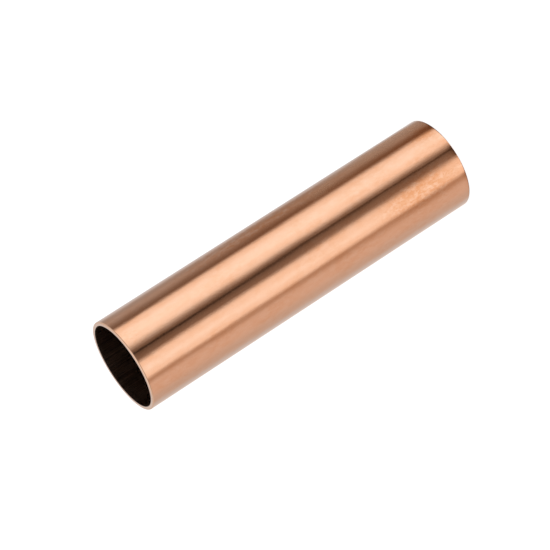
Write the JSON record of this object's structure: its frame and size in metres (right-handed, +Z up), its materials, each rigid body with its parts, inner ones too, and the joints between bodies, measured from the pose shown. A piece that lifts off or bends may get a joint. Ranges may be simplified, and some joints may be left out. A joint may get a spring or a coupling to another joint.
{
  "type": "copper tube",
  "caption": "Short straight length of round thin-walled copper tube with square deburred ends, open right through, standing on one end.",
  "frame": {"origin": "the middle of the lower end, on the tube's axis, at the level of the floor that the tube stands on", "axes": "+Z up along the tube's axis; the tube is round, so X and Y are any two directions across it"},
  "size_m": [0.025, 0.025, 0.1],
  "materials": {
    "bright_copper": "satin"
  },
  "bodies": {
    "root": {"tube": "bright_copper"}
  },
  "joints": []
}
